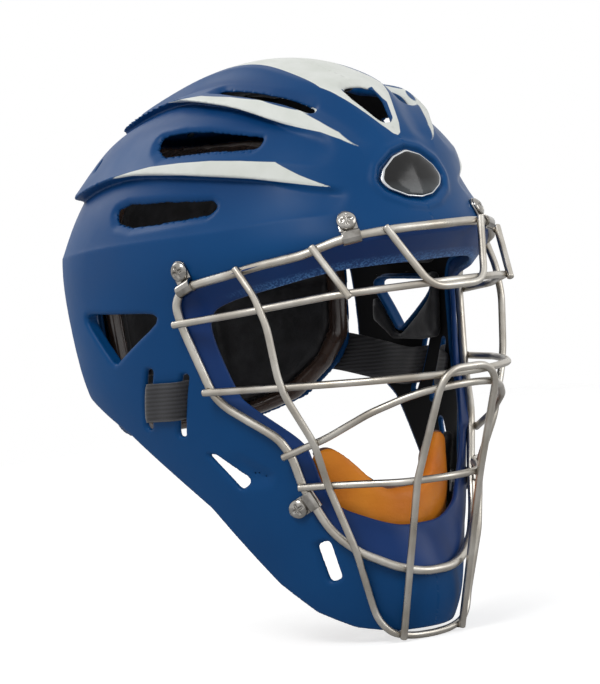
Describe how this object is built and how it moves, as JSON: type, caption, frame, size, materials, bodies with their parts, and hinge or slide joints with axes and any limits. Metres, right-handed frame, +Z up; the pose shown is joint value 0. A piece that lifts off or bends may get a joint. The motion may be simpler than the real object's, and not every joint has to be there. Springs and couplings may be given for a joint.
{
  "type": "baseball catcher helmet",
  "caption": "Hockey-style catcher helmet: one-piece front shell with a bolted wire face cage, padded lining and a hinged padded back plate held by elastic side straps.",
  "frame": {"origin": "middle of the head cavity, level with the eye bar and ear holes, on the plane of symmetry", "axes": "+Z up as worn, the face looks along -Y, +X toward the left side of the wearer"},
  "size_m": [0.204, 0.271, 0.3046],
  "materials": {
    "shell_blue": "satin",
    "cage_wire": "satin",
    "chrome_metal": "polished",
    "zinc_metal": "satin",
    "badge_plastic": "gloss",
    "black_pad": "satin",
    "grey_foam": "matte",
    "orange_leather": "satin",
    "brown_rim": "gloss",
    "black_webbing": "matte"
  },
  "bodies": {
    "shell": {"front_shell": "shell_blue", "perimeter_wire": "cage_wire", "eye_bar": "cage_wire", "nose_bar": "cage_wire", "slant_bar": "cage_wire", "lower_bar": "cage_wire", "long_u_wire": "cage_wire", "inverted_u_wire": "cage_wire", "brow_loop": "cage_wire", "brow_strut_left": "cage_wire", "brow_strut_right": "cage_wire", "cage_clips": "chrome_metal", "clip_screws": "chrome_metal", "clip_nuts": "zinc_metal", "badge": "badge_plastic", "crown_rivet": "zinc_metal", "forehead_pad": "black_pad", "crown_pad": "black_pad", "side_pad_left": "black_pad", "side_pad_right": "black_pad", "jaw_pad_left": "black_pad", "jaw_pad_right": "black_pad", "ear_foam_left": "grey_foam", "ear_foam_right": "grey_foam", "chin_pad": "orange_leather", "top_tab": "black_webbing", "side_strap_left": "black_webbing", "side_strap_right": "black_webbing"},
    "back_plate": {"back_plate": "shell_blue", "back_pad": "black_pad", "back_pad_rim": "brown_rim", "plate_rivets": "zinc_metal"}
  },
  "joints": [
    {"name": "back_plate_swing", "type": "hinge", "parent": "shell", "child": "back_plate", "pos_m": [0, 0.05, 0.128], "axis": [1, 0, 0], "range_deg": [0, 22], "stiffness_Nm_per_rad": 1.5, "deforming": ["top_tab", "side_strap_left", "side_strap_right"]}
  ]
}
